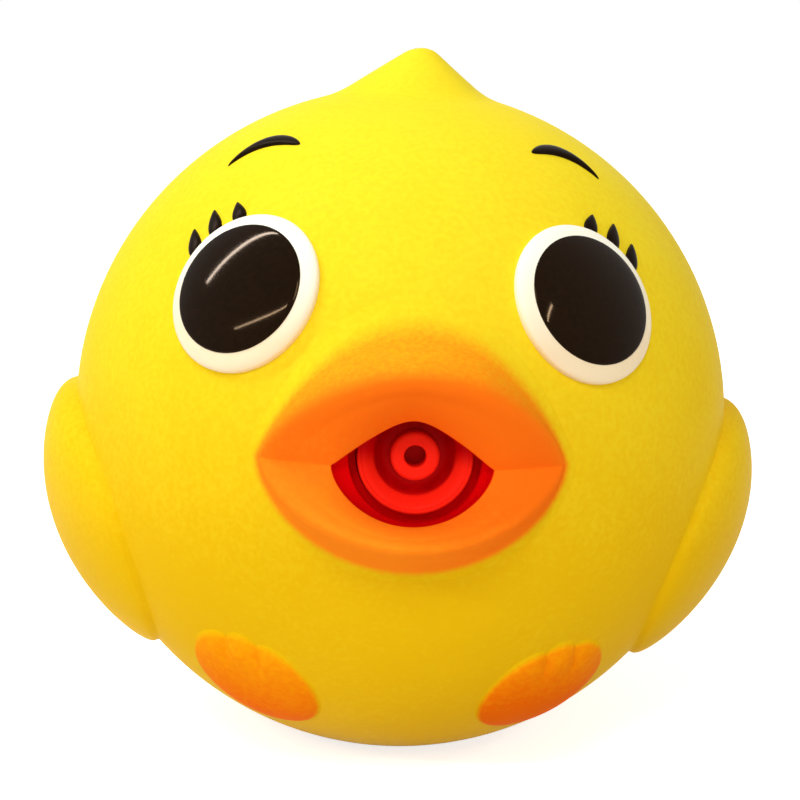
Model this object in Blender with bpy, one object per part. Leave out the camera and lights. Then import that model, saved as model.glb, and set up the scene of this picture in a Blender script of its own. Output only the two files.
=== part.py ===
"""A round vinyl bath duck: one hollow moulded body, and a cup-shaped squirt nozzle pressed into its mouth.

Metres, +Z up. The duck faces -Y and stands with the middle of its flat base at the origin.
"""

import math

import bmesh
import bpy
from mathutils import Matrix, Vector

# Ball: two half spheres a little apart, cut flat below
BALL_RADIUS = 0.045
BALL_STRETCH = 0.0016
BASE_FLAT_RADIUS = 0.014
BASE_EDGE_RADIUS = 0.006
WALL = 0.0025

# Tuft on the crown, leaning to +X
TUFT_HEIGHT = 0.0057
TUFT_SLOPE = math.radians(37)
TUFT_TIP_RADIUS = 0.0025
TUFT_FILLET = 0.012
TUFT_LEAN = 0.0015
TUFT_LEAN_POWER = 1.4

# Bill: the mouth's axis runs out of the ball's middle, tilted up. Outlines are given by how far they
# run to the side, up and down from it, and fullness says how slim an outline gets towards its corners.
MOUTH_TILT = math.radians(6)
BILL_HALF_WIDTH = 0.01825
BILL_TOP = 0.01495
BILL_BOTTOM = 0.0139
BILL_CORNER_DROP = 0.0008
BILL_UPPER_FULLNESS = 0.87
BILL_LOWER_FULLNESS = 0.58
RIM_INSET = 0.0005
RIM_TOP = 0.0097
RIM_BOTTOM = 0.0099
RIM_UPPER_FULLNESS = 0.58
RIM_LOWER_FULLNESS = 0.65
RIM_ROUND = 0.0008
UPPER_LIP_REACH = 0.0090
LOWER_LIP_REACH = 0.0072
CORNER_REACH = 0.0006
REACH_POWER = 1.5
BILL_HOLLOW = 0.0011

# Mouth: a rhombus with rounded corners through the bill, over a round recess
MOUTH_HALF_WIDTH = 0.0092
MOUTH_TOP = 0.0043
MOUTH_BOTTOM = 0.0079
MOUTH_CORNER_DROP = 0.0013
MOUTH_LOWER_FULLNESS = 0.62
MOUTH_PEAK_ROUND = 0.12
MOUTH_ROOF_SLOPE = 0.9
MOUTH_CORNER_POWER = 14
MOUTH_LIP_LIFT = 0.0009
MOUTH_CORNER_LIFT = 0.0004
BILL_ROOT_INSET = 0.0015
POCKET_DEPTH = 0.0016
RECESS_RADIUS = 0.0080
RECESS_DEPTH = 0.0070

# Nozzle: cup, tube and barbed stem, turned about the mouth's axis, with its seat a little to +X
NOZZLE_SHIFT = 0.00035
FIT = 0.0003
CUP_RADIUS = 0.0069
CUP_RIM = 0.0004
CUP_HEIGHT = 0.0042
CUP_FLOOR = 0.0012
CUP_FLOOR_RADIUS = 0.0036
CUP_SHOULDER_RADIUS = 0.0049
CUP_SHOULDER_DROP = 0.0013
TUBE_RADIUS = 0.0027
TUBE_BORE_RADIUS = 0.0014
TUBE_REACH = 0.0040
STEM_RADIUS = 0.0044
BARB_STEP = 0.0008
BARB_LENGTH = 0.0022

# Eyes, by the direction in which each lies from the ball's middle
EYE_AZIMUTH = math.radians(31.3)
EYE_ELEVATION = math.radians(29.1)
EYE_WIDTH = 0.0196
EYE_HEIGHT = 0.0202
EYE_RISE = 0.0017
PUPIL_AZIMUTH = math.radians(32.0)
PUPIL_ELEVATION = math.radians(29.05)
PUPIL_RADIUS = 0.0080
PUPIL_RISE = 0.0003

# Lashes: leaves beyond the eye's edge, counted from the outer side up
LASH_LENGTHS = (0.0050, 0.0050, 0.0040)
LASH_FIRST_ANGLE = math.radians(25)
LASH_PITCH = math.radians(20)
LASH_LEAN = math.radians(53)
LASH_WIDTH = 0.0018
LASH_POINT = 0.8
LASH_RISE = 0.0006
LASH_ROOT_OVERLAP = 0.0002

# Brows
BROW_AZIMUTH = math.radians(49)
BROW_ELEVATION = math.radians(55.6)
BROW_LENGTH = 0.0103
BROW_WIDTH = 0.0021
BROW_BOW = 0.0024
BROW_TURN = math.radians(-34.5)
BROW_POINT = 0.5
BROW_RISE = 0.0006

# Feet and toes
FOOT_AZIMUTH = math.radians(33.2)
FOOT_ELEVATION = math.radians(-41.6)
FOOT_TURN = math.radians(95)
FOOT_LENGTH = 0.0205
FOOT_WIDTH = 0.0175
FOOT_RISE = 0.0014
TOE_COUNT = 3
TOE_PITCH = 0.0042
TOE_LENGTH = 0.0070
TOE_WIDTH = 0.0048
TOE_RISE = 0.0015
TOE_OVERHANG = 0.0006

# Wings
WING_AZIMUTH = math.radians(85)
WING_ELEVATION = math.radians(-17)
WING_LENGTH = 0.048
WING_WIDTH = 0.036
WING_TURN = math.radians(25)
WING_POINT = 0.25
WING_RISE = 0.0052

# How round each form is across its section: 1 is an ellipse, less is flatter with a firmer edge
EYE_SECTION = 0.5
PUPIL_SECTION = 0.35
SMALL_SECTION = 0.8
FOOT_SECTION = 1.1
WING_SECTION = 0.8

# How far the raised forms are rooted in the wall
ROOT = 0.0010

# Facets
BALL_STEPS = 56
BALL_ARC_STEP = math.radians(6.5)
SMALL_ARC_STEP = math.radians(12)
HOLLOW_STEPS = 28
HOLLOW_ARC_STEP = math.radians(12)
BILL_STEPS = 56
NOZZLE_STEPS = 28
BOWL_STEPS = 4

# Facets round and over each kind of raised form
EYE_FACETS = (32, 14)
PUPIL_FACETS = (32, 10)
LASH_FACETS = (12, 8)
BROW_FACETS = (20, 8)
FOOT_FACETS = (24, 10)
TOE_FACETS = (14, 8)
WING_FACETS = (32, 14)

LOW_MIDDLE_Z = BASE_EDGE_RADIUS + math.sqrt(
    (BALL_RADIUS - BASE_EDGE_RADIUS) ** 2 - BASE_FLAT_RADIUS**2
)
HIGH_MIDDLE_Z = LOW_MIDDLE_Z + BALL_STRETCH
MIDDLE = Vector((0, 0, LOW_MIDDLE_Z + BALL_STRETCH / 2))

MOUTH_AXIS = Vector((0, -math.cos(MOUTH_TILT), math.sin(MOUTH_TILT)))
MOUTH_UP = Vector((0, math.sin(MOUTH_TILT), math.cos(MOUTH_TILT)))
POCKET_FLOOR = BALL_RADIUS - POCKET_DEPTH
RECESS_FLOOR = BALL_RADIUS - RECESS_DEPTH
BOSS_BACK = RECESS_FLOOR - WALL


def clear_scene():
    for obj in list(bpy.data.objects):
        bpy.data.objects.remove(obj)


def make_material(name, colour, roughness):
    material = bpy.data.materials.new(name)
    material.use_nodes = True
    shader = material.node_tree.nodes["Principled BSDF"]
    shader.inputs["Base Color"].default_value = (*colour, 1)
    shader.inputs["Roughness"].default_value = roughness
    shader.inputs["Metallic"].default_value = 0
    material.diffuse_color = (*colour, 1)
    return material


def finish_object(name, mesh_data, material):
    """Turn a bmesh into an object of one material, closed and facing out."""
    bmesh.ops.remove_doubles(mesh_data, verts=mesh_data.verts, dist=1e-7)
    bmesh.ops.recalc_face_normals(mesh_data, faces=mesh_data.faces)
    mesh = bpy.data.meshes.new(name)
    mesh_data.to_mesh(mesh)
    mesh_data.free()
    mesh.materials.append(material)
    mesh.shade_smooth()
    mesh.set_sharp_from_angle(angle=math.radians(40))
    obj = bpy.data.objects.new(name, mesh)
    bpy.context.scene.collection.objects.link(obj)
    return obj


def as_helper(obj):
    obj.hide_render = True
    obj.display_type = "WIRE"
    return obj


def combine(target, other, operation):
    """Join or cut with a helper object, which keeps its own paint on the faces it makes."""
    as_helper(other)
    modifier = target.modifiers.new(f"{operation.lower()}_{other.name}", "BOOLEAN")
    modifier.operation = operation
    modifier.solver = "EXACT"
    modifier.material_mode = "TRANSFER"
    modifier.object = other


def direction(azimuth, elevation):
    """Unit vector from the ball's middle. Azimuth turns from -Y towards +X."""
    return Vector(
        (
            math.cos(elevation) * math.sin(azimuth),
            -math.cos(elevation) * math.cos(azimuth),
            math.sin(elevation),
        )
    )


def ball_reach(way):
    """Distance from the ball's middle to its surface along a unit vector."""
    half = BALL_STRETCH / 2
    across = math.hypot(way.x, way.y)
    if abs(way.z) * BALL_RADIUS <= half * across:
        return BALL_RADIUS / across
    return half * abs(way.z) + math.sqrt(BALL_RADIUS**2 - (half * across) ** 2)


def section_height(share, section):
    """Height of a raised form as a share of its rise, by how far out from its middle it is."""
    return max(0.0, 1 - share * share) ** (section / 2)


def tangent_frame(way):
    """The directions of growing azimuth and growing elevation at a point of the ball."""
    along = Vector((-way.y, way.x, 0)).normalized()
    return along, way.cross(along)


def stepped_on_ball(way, along_distance, up_distance):
    """The direction reached from `way` by walking over the ball's surface."""
    along, up = tangent_frame(way)
    walked = math.hypot(along_distance, up_distance)
    if walked < 1e-9:
        return way.copy()
    heading = (along * along_distance + up * up_distance) / walked
    angle = walked / BALL_RADIUS
    return way * math.cos(angle) + heading * math.sin(angle)


def walked(way, turn, lengthwise, sideways):
    """As stepped_on_ball, with the first distance walked at the angle `turn` from growing azimuth."""
    along = lengthwise * math.cos(turn) - sideways * math.sin(turn)
    up = lengthwise * math.sin(turn) + sideways * math.cos(turn)
    return stepped_on_ball(way, along, up)


def mix(a, b, share):
    return a + (b - a) * share


def arc(middle, radius, start, end, step=BALL_ARC_STEP):
    """Points of an arc in a profile plane, with angles from the outward axis."""
    count = max(2, round(abs(end - start) / step))
    angles = [mix(start, end, i / count) for i in range(count + 1)]
    return [
        (middle[0] + radius * math.cos(angle), middle[1] + radius * math.sin(angle))
        for angle in angles
    ]


def curve(start, control, end, steps):
    """Points of a quadratic curve in a profile plane, pulled towards its control point."""
    shares = [i / steps for i in range(steps + 1)]
    return [
        tuple(mix(mix(a, b, t), mix(b, c, t), t) for a, b, c in zip(start, control, end))
        for t in shares
    ]


def turned(name, profile, steps, material, place=None):
    """Spin a profile of (radius, height) points about Z, then place it."""
    shape = bmesh.new()
    ring = [shape.verts.new((radius, 0, height)) for radius, height in profile]
    edges = [shape.edges.new(pair) for pair in zip(ring, ring[1:])]
    bmesh.ops.spin(
        shape,
        geom=ring + edges,
        cent=(0, 0, 0),
        axis=(0, 0, 1),
        angle=2 * math.pi,
        steps=steps,
        use_merge=True,
    )
    if place:
        shape.transform(place)
    return finish_object(name, shape, material)


def closed_profile(points):
    """A profile that ends where it begins, for a piece with a bore."""
    return points + points[:1]


def about_mouth():
    """Places a piece turned about Z in the nozzle's seat, its height counted from the ball's middle."""
    sideways = Vector((1, 0, 0))
    turn = Matrix((sideways, MOUTH_AXIS.cross(sideways), MOUTH_AXIS)).transposed()
    return Matrix.Translation(MIDDLE + sideways * NOZZLE_SHIFT) @ turn.to_4x4()


def tuft_profile():
    """The tuft's points from its foot on the ball up to its tip: fillet, straight flank, round tip."""
    tip_z = HIGH_MIDDLE_Z + BALL_RADIUS + TUFT_HEIGHT
    out = Vector((math.sin(TUFT_SLOPE), math.cos(TUFT_SLOPE)))
    down = Vector((math.cos(TUFT_SLOPE), -math.sin(TUFT_SLOPE)))
    tip_middle = Vector((0, tip_z - TUFT_TIP_RADIUS))
    ball_middle = Vector((0, HIGH_MIDDLE_Z))
    shoulder = tip_middle + out * TUFT_TIP_RADIUS
    start = shoulder + out * TUFT_FILLET - ball_middle
    half = start.dot(down)
    far = BALL_RADIUS + TUFT_FILLET
    flank = -half - math.sqrt(half * half - start.dot(start) + far * far)
    fillet_middle = ball_middle + start + down * flank
    foot = ball_middle - fillet_middle
    foot_angle = math.atan2(foot.y, foot.x)
    flank_angle = math.atan2(-out.y, -out.x)
    tip_angle = math.atan2(out.y, out.x)
    fillet = arc(fillet_middle, TUFT_FILLET, foot_angle, flank_angle, SMALL_ARC_STEP)
    tip = arc(tip_middle, TUFT_TIP_RADIUS, tip_angle, math.pi / 2, SMALL_ARC_STEP)
    return fillet + tip


def make_ball(material):
    base_angle = math.atan2(BASE_EDGE_RADIUS - LOW_MIDDLE_Z, BASE_FLAT_RADIUS)
    edge_middle = (BASE_FLAT_RADIUS, BASE_EDGE_RADIUS)
    tuft = tuft_profile()
    foot = Vector(tuft[0]) - Vector((0, HIGH_MIDDLE_Z))
    crown_angle = math.atan2(foot.y, foot.x)
    profile = [(0, 0), (BASE_FLAT_RADIUS / 2, 0)]
    profile += arc(edge_middle, BASE_EDGE_RADIUS, -math.pi / 2, base_angle, SMALL_ARC_STEP)
    profile += arc((0, LOW_MIDDLE_Z), BALL_RADIUS, base_angle, 0)[1:]
    profile += arc((0, HIGH_MIDDLE_Z), BALL_RADIUS, 0, crown_angle)
    profile += tuft[1:]
    ball = turned("body", profile, BALL_STEPS, material)
    foot_z, tip_z = tuft[0][1], tuft[-1][1]
    for vertex in ball.data.vertices:
        if vertex.co.z > foot_z:
            share = (vertex.co.z - foot_z) / (tip_z - foot_z)
            vertex.co.x += TUFT_LEAN * share**TUFT_LEAN_POWER
    return ball


def make_hollow(material):
    """The air space: the ball less its wall, and less the boss that holds the nozzle."""
    radius = BALL_RADIUS - WALL
    floor_angle = math.asin((WALL - LOW_MIDDLE_Z) / radius)
    profile = [(0, WALL)]
    profile += arc((0, LOW_MIDDLE_Z), radius, floor_angle, 0, HOLLOW_ARC_STEP)
    profile += arc((0, HIGH_MIDDLE_Z), radius, 0, math.pi / 2, HOLLOW_ARC_STEP)
    hollow = turned("hollow", profile, HOLLOW_STEPS, material)
    outer = RECESS_RADIUS + WALL
    front = BALL_RADIUS + WALL
    boss_profile = [(0, BOSS_BACK), (outer, BOSS_BACK), (outer, front), (0, front)]
    boss = turned("mouth_boss", boss_profile, HOLLOW_STEPS, material, about_mouth())
    combine(hollow, boss, "DIFFERENCE")
    return hollow


def full(fullness):
    """Height shares of an oval outline, by the place across from its middle at 0 to its corner at 1."""
    return lambda across: max(0, 1 - across**2) ** fullness


def roof(across):
    """Height share of the mouth's upper edge: straight sides, a rounded peak and blunt corners."""
    fall = MOUTH_ROOF_SLOPE * (math.hypot(across, MOUTH_PEAK_ROUND) - MOUTH_PEAK_ROUND)
    return (1 - fall) * math.sqrt(max(0, 1 - across**MOUTH_CORNER_POWER))


BILL_RISES = (full(BILL_UPPER_FULLNESS), full(BILL_LOWER_FULLNESS))
RIM_RISES = (full(RIM_UPPER_FULLNESS), full(RIM_LOWER_FULLNESS))
MOUTH_RISES = (roof, full(MOUTH_LOWER_FULLNESS))


def bill_point(angle, half_width, top, bottom, drop, rises, lift):
    """A point of a bill ring, over the ball's surface.

    rises holds the height shares of the upper and the lower outline, and lift the height over the
    ball at the corners, the middle of the upper edge and the middle of the lower edge.
    """
    half = 0 if math.sin(angle) >= 0 else 1
    across = half_width * math.cos(angle)
    height = (top + drop, drop - bottom)[half]
    up = height * rises[half](abs(math.cos(angle))) - drop
    over = mix(lift[0], lift[1 + half], abs(math.sin(angle)) ** REACH_POWER)
    out = math.sqrt(max(0, BALL_RADIUS**2 - across**2 - up**2))
    way = (Vector((across, 0, 0)) + MOUTH_UP * up + MOUTH_AXIS * out).normalized()
    return MIDDLE + way * ball_reach(way) + MOUTH_AXIS * over


def lofted(name, rings, material):
    """Close a solid over rings of points, each a function of the angle round the mouth's axis."""
    angles = [2 * math.pi * i / BILL_STEPS for i in range(BILL_STEPS)]
    rows = [[ring(angle) for angle in angles] for ring in rings]
    ends = [sum(row, Vector()) / BILL_STEPS for row in (rows[0], rows[-1])]
    rows = [[ends[0]] * BILL_STEPS, *rows, [ends[1]] * BILL_STEPS]
    shape = bmesh.new()
    bmesh.ops.create_grid(shape, x_segments=BILL_STEPS, y_segments=len(rows) - 1, size=1)
    for vertex in shape.verts:
        column = round((vertex.co.x + 1) / 2 * BILL_STEPS) % BILL_STEPS
        row = round((vertex.co.y + 1) / 2 * (len(rows) - 1))
        vertex.co = rows[row][column]
    return finish_object(name, shape, material)


def bill_rings():
    """The bill's rings, from its root in the wall over the lips and down the inner face to the mouth."""

    def foot(angle):
        return bill_point(
            angle, BILL_HALF_WIDTH, BILL_TOP, BILL_BOTTOM, BILL_CORNER_DROP, BILL_RISES, (0, 0, 0)
        )

    def root(angle):
        return foot(angle) - MOUTH_AXIS * (ROOT + FIT)

    def rim(inset, reach):
        """Near the rim: that much inside it, and that much further out along the mouth's axis."""

        def ring(angle):
            return bill_point(
                angle,
                BILL_HALF_WIDTH - RIM_INSET - inset,
                RIM_TOP - inset,
                RIM_BOTTOM - inset,
                BILL_CORNER_DROP,
                RIM_RISES,
                (CORNER_REACH, UPPER_LIP_REACH + reach, LOWER_LIP_REACH + reach),
            )

        return ring

    def mouth_edge(angle):
        return bill_point(
            angle,
            MOUTH_HALF_WIDTH,
            MOUTH_TOP,
            MOUTH_BOTTOM,
            MOUTH_CORNER_DROP,
            MOUTH_RISES,
            (MOUTH_CORNER_LIFT, MOUTH_LIP_LIFT, MOUTH_LIP_LIFT),
        )

    outer_rim = rim(-RIM_ROUND, -RIM_ROUND)
    inner_rim = rim(RIM_ROUND, -RIM_ROUND)

    def outer(share):
        """Between the root and the rim, hollowed where the bill flows out of the face."""

        def ring(angle):
            hollow = BILL_HOLLOW * math.sin(math.pi * share) * abs(math.sin(angle)) ** 3
            return mix(foot(angle), outer_rim(angle), share) - MOUTH_UP * hollow

        return ring

    def inner(angle):
        return mix(inner_rim(angle), mouth_edge(angle), 0.5)

    def under(angle):
        """Inside the mouth's outline and under the ball's surface, where the pocket takes it away."""
        return bill_point(
            angle,
            MOUTH_HALF_WIDTH - BILL_ROOT_INSET,
            MOUTH_TOP - BILL_ROOT_INSET,
            MOUTH_BOTTOM - BILL_ROOT_INSET,
            MOUTH_CORNER_DROP,
            MOUTH_RISES,
            (-ROOT, -ROOT, -ROOT),
        )

    soft = RIM_ROUND * (1 - math.sqrt(0.5))
    rounded = [outer_rim, rim(-RIM_ROUND + soft, -soft), rim(0, 0), rim(RIM_ROUND - soft, -soft), inner_rim]
    return [root, foot, outer(0.25), outer(0.5), outer(0.75), *rounded, inner, mouth_edge, under]


def make_bill(material):
    return lofted("bill", bill_rings(), material)


def make_mouth_pocket(material):
    """The rhombus through the bill's face, down to the flat floor that shows at its corners."""

    def edge_at(height):
        def edge(angle):
            point = bill_point(
                angle,
                MOUTH_HALF_WIDTH,
                MOUTH_TOP,
                MOUTH_BOTTOM,
                MOUTH_CORNER_DROP,
                MOUTH_RISES,
                (0, 0, 0),
            )
            return point + MOUTH_AXIS * (height - (point - MIDDLE).dot(MOUTH_AXIS))

        return edge

    outside = BALL_RADIUS + UPPER_LIP_REACH
    return lofted("mouth_pocket", [edge_at(POCKET_FLOOR), edge_at(outside)], material)


def make_recess(material):
    """The round seat for the nozzle's cup, which runs in behind the upper lip."""
    top = POCKET_FLOOR + FIT
    profile = [(0, RECESS_FLOOR), (RECESS_RADIUS, RECESS_FLOOR), (RECESS_RADIUS, top), (0, top)]
    return turned("mouth_recess", profile, NOZZLE_STEPS, material, about_mouth())


def make_stem_hole(material):
    radius = STEM_RADIUS + FIT
    low, high = BOSS_BACK - WALL, RECESS_FLOOR + FIT
    profile = [(0, low), (radius, low), (radius, high), (0, high)]
    return turned("stem_hole", profile, NOZZLE_STEPS, material, about_mouth())


def make_nozzle(material):
    """Cup and tube in front of the recess floor, stem and barb behind it."""
    seat = RECESS_FLOOR + FIT
    floor = seat + CUP_FLOOR
    rim = seat + CUP_HEIGHT
    barb_front = BOSS_BACK - FIT
    barb_back = barb_front - BARB_LENGTH
    inner_rim = (CUP_RADIUS - CUP_RIM, rim)
    shoulder = (CUP_SHOULDER_RADIUS, rim - CUP_SHOULDER_DROP)
    bowl = curve((CUP_FLOOR_RADIUS, floor), (CUP_SHOULDER_RADIUS, floor), shoulder, BOWL_STEPS)
    bowl += curve(shoulder, (inner_rim[0], shoulder[1]), inner_rim, BOWL_STEPS)[1:]
    tube_end = seat + TUBE_REACH
    round_off = CUP_RIM
    profile = [
        (TUBE_BORE_RADIUS, barb_back),
        (TUBE_BORE_RADIUS, tube_end - round_off / 2),
        (TUBE_BORE_RADIUS + round_off / 2, tube_end),
        (TUBE_RADIUS - round_off, tube_end),
        (TUBE_RADIUS, tube_end - round_off),
        (TUBE_RADIUS, floor),
    ]
    profile += bowl
    profile += [
        (CUP_RADIUS, rim - CUP_RIM / 2),
        (CUP_RADIUS, seat),
        (STEM_RADIUS, seat),
        (STEM_RADIUS, barb_front),
        (STEM_RADIUS + BARB_STEP, barb_front),
        (STEM_RADIUS + BARB_STEP, barb_front - BARB_STEP),
        (STEM_RADIUS - BARB_STEP, barb_back),
    ]
    return turned("mouth_nozzle", closed_profile(profile), NOZZLE_STEPS, material, about_mouth())


def wrapped_form(name, material, way, length, width, rise, section, **shape):
    """A lens bent over the ball's surface and rooted in it.

    Its long axis points at the angle `turn` from growing azimuth. point narrows its far end to a tip,
    bow bends it sideways, ground gives the surface that it lies on, as a height over the ball.
    """
    turn = shape.get("turn", 0)
    point = shape.get("point", 0)
    bow = shape.get("bow", 0)
    ground = shape.get("ground", lambda spot: 0)
    across, rings = shape.get("facets", (20, 10))
    widest_at = point / (1 + point)
    widest = ((1 + widest_at) / 2) ** point * math.sqrt(1 - widest_at**2)
    form = bmesh.new()
    bmesh.ops.create_uvsphere(form, u_segments=across, v_segments=rings, radius=1)
    for vertex in form.verts:
        lengthwise, sideways, height = vertex.co
        share = min(1, math.hypot(lengthwise, sideways))
        sideways *= (max(0, 1 - lengthwise) / 2) ** point / widest
        beside = sideways * width / 2 + bow * (1 - lengthwise**2)
        spot = walked(way, turn, lengthwise * length / 2, beside)
        over = rise * section_height(share, section) if height > 0 else -ROOT * abs(height)
        vertex.co = MIDDLE + spot * (ball_reach(spot) + ground(spot) + over)
    return finish_object(name, form, material)


def mirrored(side, way):
    return Vector((way.x * side, way.y, way.z))


def side_turn(side, angle):
    return angle if side > 0 else math.pi - angle


def side_name(side):
    return "left" if side > 0 else "right"


def make_eye(side, white, black):
    """The white, with its pupil and lashes lying on it and beyond it."""
    middle = mirrored(side, direction(EYE_AZIMUTH, EYE_ELEVATION))
    pupil_middle = mirrored(side, direction(PUPIL_AZIMUTH, PUPIL_ELEVATION))
    along, up = tangent_frame(middle)

    def white_surface(spot):
        angle = max(middle.angle(spot), 1e-6)
        radius = BALL_RADIUS * angle / math.sin(angle)
        across = spot.dot(along) * radius / (EYE_WIDTH / 2)
        share = math.hypot(across, spot.dot(up) * radius / (EYE_HEIGHT / 2))
        return EYE_RISE * section_height(min(1, share), EYE_SECTION)

    eye = wrapped_form(
        f"{side_name(side)}_eye",
        white,
        middle,
        EYE_WIDTH,
        EYE_HEIGHT,
        EYE_RISE,
        EYE_SECTION,
        facets=EYE_FACETS,
    )
    pupil = wrapped_form(
        f"{side_name(side)}_pupil",
        black,
        pupil_middle,
        PUPIL_RADIUS * 2,
        PUPIL_RADIUS * 2,
        PUPIL_RISE,
        PUPIL_SECTION,
        ground=white_surface,
        facets=PUPIL_FACETS,
    )
    forms = [eye, pupil]
    for i, length in enumerate(LASH_LENGTHS):
        angle = LASH_FIRST_ANGLE + LASH_PITCH * i
        root_across = (EYE_WIDTH / 2 - LASH_ROOT_OVERLAP) * math.cos(angle)
        root_up = (EYE_HEIGHT / 2 - LASH_ROOT_OVERLAP) * math.sin(angle)
        spot = stepped_on_ball(
            middle,
            side * (root_across + length / 2 * math.cos(LASH_LEAN)),
            root_up + length / 2 * math.sin(LASH_LEAN),
        )
        lash = wrapped_form(
            f"{side_name(side)}_lash_{i + 1}",
            black,
            spot,
            length,
            LASH_WIDTH,
            LASH_RISE,
            SMALL_SECTION,
            turn=side_turn(side, LASH_LEAN),
            point=LASH_POINT,
            facets=LASH_FACETS,
        )
        forms.append(lash)
    return forms


def make_brow(side, black):
    return wrapped_form(
        f"{side_name(side)}_brow",
        black,
        mirrored(side, direction(BROW_AZIMUTH, BROW_ELEVATION)),
        BROW_LENGTH,
        BROW_WIDTH,
        BROW_RISE,
        SMALL_SECTION,
        turn=side_turn(side, BROW_TURN),
        point=BROW_POINT,
        bow=side * BROW_BOW,
        facets=BROW_FACETS,
    )


def make_foot(side, orange):
    """A flat oval foot, and its toes along the curve of its upper end."""
    middle = mirrored(side, direction(FOOT_AZIMUTH, FOOT_ELEVATION))
    turn = side_turn(side, FOOT_TURN)
    foot = wrapped_form(
        f"{side_name(side)}_foot",
        orange,
        middle,
        FOOT_LENGTH,
        FOOT_WIDTH,
        FOOT_RISE,
        FOOT_SECTION,
        turn=turn,
        facets=FOOT_FACETS,
    )
    forms = [foot]
    for i in range(TOE_COUNT):
        across = TOE_PITCH * (i - (TOE_COUNT - 1) / 2)
        share = min(0.9, abs(across) / (FOOT_WIDTH / 2))
        ahead = FOOT_LENGTH / 2 * math.sqrt(1 - share**2) + TOE_OVERHANG - TOE_LENGTH / 2
        toe = wrapped_form(
            f"{side_name(side)}_toe_{i + 1}",
            orange,
            walked(middle, turn, ahead, across),
            TOE_LENGTH,
            TOE_WIDTH,
            TOE_RISE,
            SMALL_SECTION,
            turn=turn,
            facets=TOE_FACETS,
        )
        forms.append(toe)
    return forms


def make_wing(side, yellow):
    return wrapped_form(
        f"{side_name(side)}_wing",
        yellow,
        mirrored(side, direction(WING_AZIMUTH, WING_ELEVATION)),
        WING_LENGTH,
        WING_WIDTH,
        WING_RISE,
        WING_SECTION,
        turn=side_turn(side, WING_TURN),
        point=WING_POINT,
        facets=WING_FACETS,
    )


def main():
    clear_scene()
    yellow = make_material("yellow_vinyl", (0.95, 0.80, 0.05), 0.45)
    orange = make_material("orange_spray", (0.98, 0.30, 0.02), 0.5)
    white = make_material("white_paint", (0.95, 0.92, 0.82), 0.4)
    black = make_material("black_gloss", (0.012, 0.006, 0.004), 0.12)
    red_paint = make_material("red_paint", (0.45, 0.005, 0.008), 0.5)
    red = make_material("red_plastic", (0.75, 0.012, 0.01), 0.35)

    body = make_ball(yellow)
    raised = [make_bill(orange)]
    for side in (-1, 1):
        raised.append(make_wing(side, yellow))
        raised += make_eye(side, white, black)
        raised.append(make_brow(side, black))
        raised += make_foot(side, orange)
    for form in raised:
        combine(body, form, "UNION")
    combine(body, make_mouth_pocket(red_paint), "DIFFERENCE")
    combine(body, make_recess(red_paint), "DIFFERENCE")
    combine(body, make_hollow(yellow), "DIFFERENCE")
    combine(body, make_stem_hole(red_paint), "DIFFERENCE")
    make_nozzle(red)


main()
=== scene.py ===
"""Looks of a round vinyl bath duck: fine surfaces, sprayed paint, glossy pupils, a red nozzle."""

import math

import bmesh
import bpy
from mathutils import Matrix, Vector


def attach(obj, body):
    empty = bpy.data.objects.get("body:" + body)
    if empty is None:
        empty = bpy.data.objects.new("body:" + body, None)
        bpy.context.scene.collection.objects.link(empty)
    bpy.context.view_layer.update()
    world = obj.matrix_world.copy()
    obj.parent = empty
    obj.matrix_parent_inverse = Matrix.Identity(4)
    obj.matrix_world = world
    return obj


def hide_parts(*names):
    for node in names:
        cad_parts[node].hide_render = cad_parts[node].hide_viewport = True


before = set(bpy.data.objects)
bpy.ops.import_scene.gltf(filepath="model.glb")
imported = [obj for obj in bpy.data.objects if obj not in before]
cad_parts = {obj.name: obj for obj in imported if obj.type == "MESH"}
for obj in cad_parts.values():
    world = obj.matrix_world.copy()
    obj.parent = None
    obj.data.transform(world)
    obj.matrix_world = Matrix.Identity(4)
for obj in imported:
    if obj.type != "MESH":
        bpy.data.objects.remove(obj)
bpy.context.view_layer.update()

MM = 0.001

# Ball, base and tuft, as moulded
BALL_RADIUS = 45.0 * MM
BALL_STRETCH = 1.6 * MM
BASE_FLAT_RADIUS = 14.0 * MM
BASE_EDGE_RADIUS = 6.0 * MM
TUFT_HEIGHT = 5.3 * MM
TUFT_SLOPE = math.radians(36)
TUFT_TIP_RADIUS = 4.0 * MM
TUFT_FILLET = 12.0 * MM
TUFT_LEAN = 1.1 * MM
TUFT_LEAN_POWER = 1.4

# Bill: the mouth's axis runs out of the ball's middle, tilted up. Triples hold the values at the
# corners, at the middle of the upper edge and at the middle of the lower edge.
MOUTH_TILT = math.radians(6)
BILL_HALF_WIDTH = 18.25 * MM
BILL_TOP = 14.95 * MM
BILL_BOTTOM = 13.9 * MM
BILL_DROP = 0.8 * MM
BILL_UPPER_FULLNESS = 0.87
BILL_LOWER_FULLNESS = 0.58
RIM_INSET = 0.5 * MM
RIM_TOP = 9.7 * MM
RIM_BOTTOM = 9.9 * MM
RIM_UPPER_FULLNESS = 0.62
RIM_LOWER_FULLNESS = 0.65
RIM_ROUND = 3.4 * MM
RIM_INNER_STRETCH = 1.2
LONGEST_BLEND = 0.45
LONGEST_RIM_BLEND = 0.4
RIM_REACH = (0.9 * MM, 9.9 * MM, 8.2 * MM)
MOUTH_HALF_WIDTH = 9.4 * MM
MOUTH_TOP = 4.3 * MM
MOUTH_BOTTOM = 8.1 * MM
MOUTH_DROP = 1.3 * MM
MOUTH_LOWER_FULLNESS = 0.62
MOUTH_PEAK_ROUND = 0.3
MOUTH_ROOF_SLOPE = 1.28
MOUTH_CORNER_POWER = 8
MOUTH_REACH = (0.4 * MM, 0.9 * MM, 0.9 * MM)
REACH_POWER = 1.3
MOUTH_EDGE_ROUND = 0.35 * MM
SKIRT = (1.6 * MM, 4.2 * MM, 1.5 * MM)
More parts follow.
